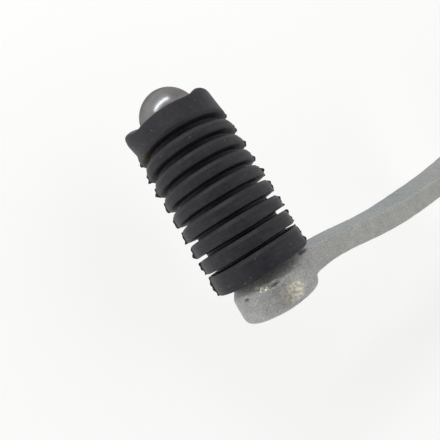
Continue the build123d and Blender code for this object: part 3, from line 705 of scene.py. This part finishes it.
# Dents in the rim of the peg boss: degrees round the peg, then in millimetres the distance
# inboard of the rubber's seat, half length round the rim, half width and depth
BOSS_DENTS = (
    (56, 2.7, 1.4, 0.28, 0.50),
    (10, 2.9, 1.1, 0.40, 0.50),
    (33, 2.0, 0.5, 0.35, 0.16),
    (38, 2.6, 0.5, 0.30, 0.18),
    (43, 2.2, 0.6, 0.30, 0.16),
    (47, 2.8, 0.4, 0.30, 0.16),
    (30, 2.8, 0.4, 0.30, 0.16),
    (84, 6.2, 0.35, 0.35, 0.34),
)
# Patches of bare, rubbed metal there: the same first four numbers, then how bare, up to 1
BOSS_RUBS = (
    (72, 6.0, 4.0, 2.4, 1.0),
    (35, 2.0, 1.5, 0.55, 1.0),
    (42, 2.7, 1.3, 0.5, 0.9),
    (57, 2.0, 1.7, 0.4, 0.8),
    (10, 2.3, 1.2, 0.4, 0.5),
    (95, 1.6, 1.6, 1.0, 0.85),
)


def boss_falloff(point, mark):
    """1 at the middle of a mark on the peg boss, to 0 at its edge."""
    bearing, inboard, half_length, half_width = mark[:4]
    angle = math.atan2(point[2], point[0] - PEG_X)
    round_rim = ((angle - math.radians(bearing) + math.pi) % TAU - math.pi) * PEG_BOSS_R
    u = round_rim / (half_length * MM)
    v = (point[1] - PEG_SEAT_Y - inboard * MM) / (half_width * MM)
    return math.exp(-(u * u + v * v))


def refine_round_peg(obj):
    """Halves the faces of the peg boss, so that they can carry its small dents."""
    work = bmesh.new()
    work.from_mesh(obj.data)

    def on_boss(vertex):
        from_peg = math.hypot(vertex.co.x - PEG_X, vertex.co.z)
        return from_peg < PEG_BOSS_REACH and vertex.co.y < PEG_SEAT_Y + PEG_BOSS_LENGTH

    near = [edge for edge in work.edges if all(on_boss(vertex) for vertex in edge.verts)]
    bmesh.ops.subdivide_edges(work, edges=near, cuts=1, use_grid_fill=True)
    work.to_mesh(obj.data)
    work.free()


def make_lever_arm():
    """The casting, with soft edges, a rough skin, dents and the marks that its material reads, painted shade among
    them.
    """
    obj = cad_copy("lever_arm", "lever_arm_casting")
    remesh = obj.modifiers.new("remesh", "REMESH")
    remesh.mode = "VOXEL"
    remesh.voxel_size = CAST_VOXEL
    apply_modifiers(obj)
    soften = obj.modifiers.new("soften", "SMOOTH")
    soften.factor = 0.5
    soften.iterations = 3
    apply_modifiers(obj)
    refine_round_peg(obj)
    boss_faces = (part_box("dust_seal_outer")[0].y + SEAL_RECESS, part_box("dust_seal_inner")[1].y - SEAL_RECESS)
    points, normals = points_and_normals(obj)
    marks = {"machined": [], "rub": [], "dent_shade": [], "boss": [], "outboard": []}
    for index, point in enumerate(points.copy()):
        here = Vector(point)
        from_axis = math.hypot(here.x, here.z)
        from_peg = math.hypot(here.x - PEG_X, here.z)
        faced = from_axis < PIVOT_FACE_R and min(abs(here.y - y) for y in boss_faces) < FACING_DEPTH
        machined = faced or from_axis < PIVOT_BORE_R
        lift, bare, depth = 0.0, 0.0, 0.0
        if not machined:
            lift = sum(noise.noise(here / size) * height for size, height in SKIN_SWELLS)
        if from_peg < PEG_BOSS_REACH:
            depth = sum(mark[4] * boss_falloff(here, mark) for mark in BOSS_DENTS)
            bare = max(mark[4] * boss_falloff(here, mark) for mark in BOSS_RUBS)
            lift -= depth
        points[index] += normals[index] * lift * MM
        along_arm = smoothstep(*ARM_PAST_PIVOT, from_axis) * smoothstep(*ARM_PAST_PEG, from_peg)
        marks["machined"].append(1.0 if machined else 0.0)
        marks["rub"].append(bare)
        # painted shade: how dark a dent's colour gets, from its depth
        marks["dent_shade"].append(smoothstep(*DENT_SHADE_DEPTH, depth))
        marks["boss"].append(smoothstep(*BOSS_FADE, from_peg))
        # painted shade: marks the arm's faces turned outboard, towards the window light, for the material to
        # darken
        marks["outboard"].append(along_arm * smoothstep(0.75, 0.92, -normals[index][1]))
    obj.data.vertices.foreach_set("co", points.ravel())
    shade(obj, 60)
    for name, values in marks.items():
        obj.data.attributes.new(name, "FLOAT", "POINT").data.foreach_set("value", values)
    stand_for(obj, "lever_arm")


# ---------------------------------------------------------------- threads, nuts and plain hardware
# Thread radius, pitch, and how far the shank under a thread is drawn in
M6_R, M6_PITCH, M6_DRAW = 3.0 * MM, 1.0 * MM, 0.7 * MM
M8_R, M8_PITCH, M8_DRAW = 4.0 * MM, 1.25 * MM, 0.9 * MM
THREAD_LEAD_IN = 0.8 * MM
# A thread's depth as a share of its pitch, the share that its flat crest takes, and its finest step
THREAD_DEPTH, THREAD_CREST, THREAD_STEP = 0.5795, 0.1, 0.1
TOUCH, END_DRAW = 0.05 * MM, 0.2 * MM
ROD_THREAD, PINCH_THREAD, STUD_THREAD = 32 * MM, 18 * MM, 12.0 * MM
NUT_FLATS, NUT_BORE, NUT_FOOT, NUT_RIM = 10 * MM, 2.9 * MM, 0.4 * MM, 0.1 * MM
NUT_TURN = HEX_CORNER = CHAMFER_SLOPE = math.pi / 6
CLAMP_BORE_CLEAR = 8.2 * MM
SHANK_GAP = 0.3 * MM
BOLT_BEVEL, ROD_BEVEL, STUD_BEVEL = 0.25 * MM, 0.2 * MM, 0.15 * MM
SOCKET_BEVEL, FORGING_BEVEL = 0.3 * MM, 0.7 * MM
# The parts that only need their corners taken off, and how wide
PLAIN_PARTS = {"pivot_bush_inner": 0.12 * MM, "pivot_bush_outer": 0.12 * MM, "pivot_sleeve": 0.1 * MM,
               "pivot_washer_inner": 0.1 * MM, "pivot_washer_outer": 0.1 * MM, "pinch_washer": 0.15 * MM,
               "front_stud_washer": 0.2 * MM, "rear_stud_washer": 0.2 * MM}


def along_axis(origin, axis):
    """Moves a mesh made about the +Y axis onto an axis of the model's frame."""
    turn = Vector((0, 1, 0)).rotation_difference(Vector(axis))
    return Matrix.Translation(origin) @ turn.to_matrix().to_4x4()


def thread_object(origin, axis, radius, length, pitch):
    """A helical V thread along +axis from origin, chamfered at its far end."""
    count = math.ceil(length / (THREAD_STEP * pitch))
    side = [Vector((radius, length * k / count)) for k in range(count + 1)]
    outline = [Vector((0, 0))] + side + [Vector((0, length))]

    def shape(r, height, angle):
        if r < 0.1 * MM:
            return r, height
        phase = (height / pitch - angle / TAU) % 1.0
        crest = max(0.0, abs(phase - 0.5) * 2 - THREAD_CREST) / (1 - THREAD_CREST)
        r -= THREAD_DEPTH * pitch * (1 - crest)
        return min(r, radius - max(0.0, height - (length - THREAD_LEAD_IN))), height

    obj = lathe("thread", outline, Vector(), around(40), smooth_angle=60, shape=shape)
    obj.data.transform(along_axis(origin, axis))
    return obj


def slimmed(obj, origin, axis, radius, start, end, amount):
    """Draws a CAD copy's shank in from start to end along its axis, to hide under a thread."""
    direction = Vector(axis)
    for vertex in obj.data.vertices:
        offset = vertex.co - Vector(origin)
        along = offset.dot(direction)
        out = offset - direction * along
        beside = start - TOUCH <= along <= end + TOUCH
        if beside and 0.01 * MM < out.length < radius + TOUCH:
            vertex.co -= out.normalized() * min(amount, out.length)
            if abs(along - end) < 2 * TOUCH:
                vertex.co -= direction * END_DRAW


def joined(name, first, *others):
    """One object from several, with their meshes put together."""
    work = bmesh.new()
    for obj in (first, *others):
        work.from_mesh(obj.data)
    mesh = bpy.data.meshes.new(name)
    work.to_mesh(mesh)
    work.free()
    for obj in others:
        bpy.data.objects.remove(obj)
    first.data = mesh
    first.name = name
    shade(first, 40)
    even_normals(first)
    return first


def hex_nut(name, origin, axis, height):
    """A hexagon nut with turned corners, from origin along +axis."""
    half = NUT_FLATS / 2
    circle = half - NUT_RIM
    corner = half / math.cos(HEX_CORNER)
    slope = math.tan(CHAMFER_SLOPE)
    outline = [Vector(p) for p in (
        (NUT_BORE, NUT_FOOT), (NUT_BORE + NUT_FOOT, 0), (circle, 0), (corner, 0.01 * MM),
        (corner, height - 0.01 * MM), (circle, height), (NUT_BORE + NUT_FOOT, height),
        (NUT_BORE, height - NUT_FOOT))]

    def shape(r, along, angle):
        if r < corner - 0.001 * MM:
            return r, along
        sector = (angle - NUT_TURN + HEX_CORNER) % (2 * HEX_CORNER) - HEX_CORNER
        r = half / math.cos(sector)
        drop = max(0.0, r - circle) * slope
        return r, (drop if along < height / 2 else height - drop)

    angles = sorted(set(round((NUT_TURN + angle) % TAU, 7) for angle in around(96)))
    obj = lathe(name, outline, Vector(), angles, smooth_angle=25, shape=shape)
    obj.data.transform(along_axis(origin, axis))
    return obj


def outside_clamp_bore(point):
    """True away from the serrated bore of the shift arm's clamp."""
    return math.hypot(point.x - box_centre("shift_arm").x, point.z) > CLAMP_BORE_CLEAR


def make_plain_parts():
    """Bushes, sleeve, washers and shift arm."""
    for node, width in PLAIN_PARTS.items():
        stand_for(bevelled(cad_copy(node, node + "_finished"), width), node)
    blank = cad_copy("shift_arm", "shift_arm_forging")
    forging = bevelled(blank, FORGING_BEVEL, segments=3, chosen=outside_clamp_bore)
    stand_for(forging, "shift_arm")


def make_pivot_bolt():
    """The flanged bolt, with a real thread where it screws into the frame."""
    bolt = bevelled(cad_copy("pivot_bolt", "pivot_bolt_head"), BOLT_BEVEL)
    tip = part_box("pivot_bolt")[1].y
    slimmed(bolt, (0, 0, 0), (0, 1, 0), M8_R, -SHANK_GAP, tip, M8_DRAW)
    thread = thread_object((0, 0, 0), (0, 1, 0), M8_R, tip, M8_PITCH)
    stand_for(joined("pivot_bolt_threaded", bolt, thread), "pivot_bolt")


def make_tie_rod():
    """The rod's body, with a thread at each end that stops short of the flats in the middle."""
    low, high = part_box("tie_rod")
    rod = bevelled(cad_copy("tie_rod", "tie_rod_body"), ROD_BEVEL)
    middle = Vector((0, ROD_Y, BALL_Z))
    threads = []
    for end_x, outward in ((high.x, 1), (low.x, -1)):
        reach = outward * end_x
        slimmed(rod, middle, (outward, 0, 0), M6_R, reach - ROD_THREAD + SHANK_GAP, reach, M6_DRAW)
        start = Vector((end_x - outward * ROD_THREAD, ROD_Y, BALL_Z))
        threads.append(thread_object(start, (outward, 0, 0), M6_R, ROD_THREAD, M6_PITCH))
    stand_for(joined("tie_rod_threaded", rod, *threads), "tie_rod")


def make_pinch_bolt():
    """The bolt that closes the split clamp, threaded at its upper end."""
    bolt = bevelled(cad_copy("pinch_bolt", "pinch_bolt_head"), BOLT_BEVEL)
    low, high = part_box("pinch_bolt")
    centre = box_centre("pinch_bolt")
    foot = Vector((centre.x, centre.y, low.z))
    height = high.z - low.z
    slimmed(bolt, foot, (0, 0, 1), M6_R, height - PINCH_THREAD, height, M6_DRAW)
    start = Vector((centre.x, centre.y, high.z - PINCH_THREAD))
    thread = thread_object(start, (0, 0, 1), M6_R, PINCH_THREAD, M6_PITCH)
    stand_for(joined("pinch_bolt_threaded", bolt, thread), "pinch_bolt")


def make_nuts(end):
    """The locknut on the rod and the nut on the ball stud."""
    node = end + "_locknut"
    low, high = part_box(node)
    centre = box_centre(node)
    stand_for(hex_nut(node + "_turned", (low.x, centre.y, centre.z), (1, 0, 0), high.x - low.x), node)
    node = end + "_stud_nut"
    low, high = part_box(node)
    centre = box_centre(node)
    stand_for(hex_nut(node + "_turned", (centre.x, low.y, centre.z), (0, 1, 0), high.y - low.y), node)


def make_ball_joint(end):
    """Stud with its thread, socket, cap and bellows boot of one ball joint."""
    centre = box_centre(end + "_stud_nut")
    node = end + "_ball_stud"
    stud = bevelled(cad_copy(node, node + "_body"), STUD_BEVEL)
    foot = Vector((centre.x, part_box(node)[1].y - STUD_THREAD, centre.z))
    slimmed(stud, foot, (0, 1, 0), M6_R, SHANK_GAP, STUD_THREAD, M6_DRAW)
    thread = thread_object(foot, (0, 1, 0), M6_R, STUD_THREAD, M6_PITCH)
    stand_for(joined(node + "_threaded", stud, thread), node)
    node = end + "_ball_socket"
    stand_for(bevelled(cad_copy(node, node + "_turned"), SOCKET_BEVEL), node)
    make_socket_cap(end, centre)
    make_dust_boot(end, centre)


def make_socket_cap(end, centre):
    """A pressed disc, dished, with the socket's lip staked over it."""
    low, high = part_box(end + "_socket_cap")
    rim = (high.x - low.x) / 2 / MM
    outline = [Vector((r * MM, low.y + h * MM)) for r, h in (
        (0, 0.55), (2.2, 0.5), (3.4, 0.3), (4.2, 0.05), (4.9, 0.0), (5.6, 0.05), (rim - 0.25, 0.25),
        (rim, 0.5), (rim, 1.4), (0, 1.4))]
    origin = Vector((centre.x, 0, centre.z))
    cap = lathe(end + "_socket_cap_pressed", outline, origin, around(96), smooth_angle=40)
    stand_for(cap, end + "_socket_cap")


def make_dust_boot(end, centre):
    """A bellows of two folds between the socket's spigot and the neck of the stud."""
    low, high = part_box(end + "_dust_boot")
    rim = (high.x - low.x) / 2 / MM
    neck = 3.05
    profile = ((neck + 1.0, 4.8), (neck + 1.5, 4.45), (neck + 1.6, 4.1), (5.0, 3.95), (5.9, 3.7), (6.3, 3.3),
               (6.2, 2.9), (5.6, 2.6), (5.5, 2.35), (6.3, 2.25), (7.2, 2.05), (rim - 0.15, 1.7),
               (rim, 1.3), (rim, 0.35), (rim - 0.25, 0.05), (7.0, 0.0), (7.0, 1.4), (6.1, 1.65),
               (5.0, 1.95), (4.7, 2.4), (4.9, 2.85), (5.3, 3.1), (4.9, 3.25), (neck + 0.4, 3.4), (neck, 3.7),
               (neck, 4.4), (neck + 0.4, 4.8))
    outline = [Vector((r * MM, low.y + h * MM)) for r, h in profile]
    origin = Vector((centre.x, 0, centre.z))
    boot = lathe(end + "_dust_boot_moulded", outline, origin, around(96), smooth_angle=70)
    stand_for(boot, end + "_dust_boot")


for node_name, node_object in NODES.items():
    node_object.data.materials.clear()
    node_object.data.materials.append(MATERIALS[SLOT_OF[node_name]])
make_plain_parts()
make_pivot_bolt()
make_tie_rod()
for joint_end in ("front", "rear"):
    make_nuts(joint_end)
    make_ball_joint(joint_end)
make_pinch_bolt()
make_toe_peg()
make_peg_rubber()
make_lever_arm()


# ---------------------------------------------------------------- floor, light, camera
FLOOR_REACH = 4.0
ROOM_STRENGTH = 0.85
LENS, SENSOR_WIDTH = 28.64, 36
CLIP_START = 0.005
# The camera's place, from the middle of the toe rubber's seat on the boss
CAMERA_OFFSET = Vector((48.3, -9.5, 64.6)) * MM
WINDOW = {"direction": (0.42, -0.79, 0.53), "distance": 0.9, "size": (0.95, 0.08), "roll": -28,
          "power": 2.3, "colour": (0.92, 0.98, 1.0)}


def make_floor():
    """One wide sheet of paper, not attached to any of the object's bodies."""
    signs = ((-1, -1), (1, -1), (1, 1), (-1, 1))
    corners = [(x * FLOOR_REACH, y * FLOOR_REACH, FLOOR_Z) for x, y in signs]
    floor = new_object("floor", corners, [(0, 1, 2, 3)], smooth_angle=35)
    floor.data.materials.append(floor_paper())


def area_light(name, direction, distance, size, roll, power, colour):
    """A rectangle of light that faces the toe rubber, turned by roll degrees in its own plane."""
    data = bpy.data.lights.new(name, "AREA")
    data.shape = "RECTANGLE"
    data.size, data.size_y = size
    data.energy = power
    data.color = colour
    light = bpy.data.objects.new(name, data)
    light.location = PEG_CENTRE + Vector(direction).normalized() * distance
    facing = (light.location - PEG_CENTRE).to_track_quat("Z", "Y")
    light.rotation_euler = (facing @ Quaternion((0, 0, 1), math.radians(roll))).to_euler()
    bpy.context.scene.collection.objects.link(light)


def make_light():
    """A white room, dimmer behind the camera, and one long, narrow window."""
    world = bpy.data.worlds.new("studio")
    world.use_nodes = True
    nodes, links = world.node_tree.nodes, world.node_tree.links
    direction = nodes.new("ShaderNodeTexCoord").outputs["Generated"]
    facing = nodes.new("ShaderNodeVectorMath")
    facing.operation = "DOT_PRODUCT"
    links.new(direction, facing.inputs[0])
    facing.inputs[1].default_value = VIEW_BACK
    tone = nodes.new("ShaderNodeValToRGB")
    links.new(facing.outputs["Value"], tone.inputs["Fac"])
    stops = ((0.70, (1.0, 0.99, 0.985, 1)), (0.88, (0.36, 0.345, 0.33, 1)), (0.98, (0.17, 0.155, 0.14, 1)))
    elements = tone.color_ramp.elements
    elements.new(0.5)
    for element, (position, colour) in zip(elements, stops):
        element.position, element.color = position, colour
    background = nodes["Background"]
    links.new(tone.outputs["Color"], background.inputs["Color"])
    background.inputs["Strength"].default_value = ROOM_STRENGTH
    bpy.context.scene.world = world
    area_light("window", **WINDOW)
    bpy.context.scene.view_settings.view_transform = "Standard"


def make_camera():
    """A wide lens close to the peg, which makes its near end look larger."""
    seat = Vector((PEG_X, PEG_SEAT_Y, 0))
    data = bpy.data.cameras.new("camera")
    data.lens = LENS
    data.sensor_width = SENSOR_WIDTH
    data.clip_start = CLIP_START
    camera = bpy.data.objects.new("camera", data)
    axes = Matrix((VIEW_RIGHT, VIEW_UP, VIEW_BACK)).transposed()
    camera.matrix_world = Matrix.Translation(seat + CAMERA_OFFSET) @ axes.to_4x4()
    bpy.context.scene.collection.objects.link(camera)
    bpy.context.scene.camera = camera


make_floor()
make_light()
make_camera()
